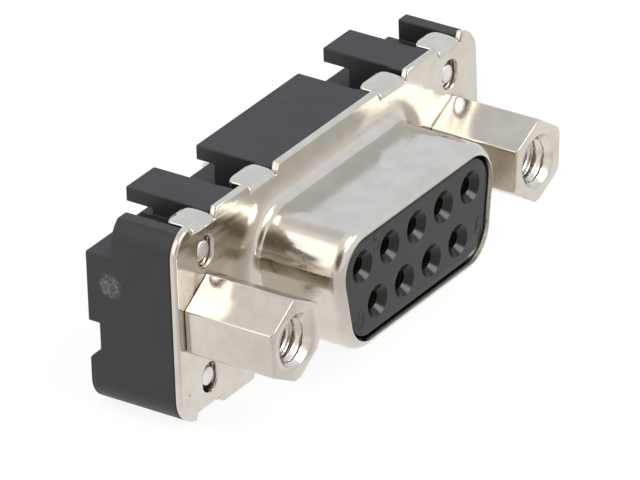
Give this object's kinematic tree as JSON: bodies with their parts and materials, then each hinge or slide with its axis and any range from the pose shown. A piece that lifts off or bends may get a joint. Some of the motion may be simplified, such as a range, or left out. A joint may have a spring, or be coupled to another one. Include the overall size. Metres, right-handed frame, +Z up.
{
  "type": "d-sub connector",
  "caption": "Board-mount D-sub socket connector with a steel shell, hexagonal threaded standoffs and straight solder tails.",
  "frame": {"origin": "on the mating axis, in the plane of the flange's front face", "axes": "+X to the right seen from the plug, -Y towards the plug, +Z up with the wider row of contacts on top"},
  "size_m": [0.0308, 0.015, 0.0126],
  "materials": {
    "shell_steel": "bright nickel-plated sheet steel",
    "rivet_steel": "bright plated steel",
    "standoff_nickel": "nickel-plated brass",
    "insert_brass": "satin brass",
    "contact_plating": "tin-plated brass",
    "insulator_plastic": "moulded plastic",
    "housing_plastic": "moulded plastic with a fine matt surface"
  },
  "bodies": {
    "root": {"front_shell": "shell_steel", "front_insulator": "insulator_plastic", "rear_housing": "housing_plastic", "contact_1": "contact_plating", "contact_2": "contact_plating", "contact_3": "contact_plating", "contact_4": "contact_plating", "contact_5": "contact_plating", "contact_6": "contact_plating", "contact_7": "contact_plating", "contact_8": "contact_plating", "contact_9": "contact_plating", "standoff_left": "standoff_nickel", "standoff_right": "standoff_nickel", "insert_left": "insert_brass", "insert_right": "insert_brass", "ground_plate_left": "shell_steel", "ground_plate_right": "shell_steel", "rivet_1": "rivet_steel", "rivet_2": "rivet_steel", "rivet_3": "rivet_steel", "rivet_4": "rivet_steel"}
  },
  "joints": []
}
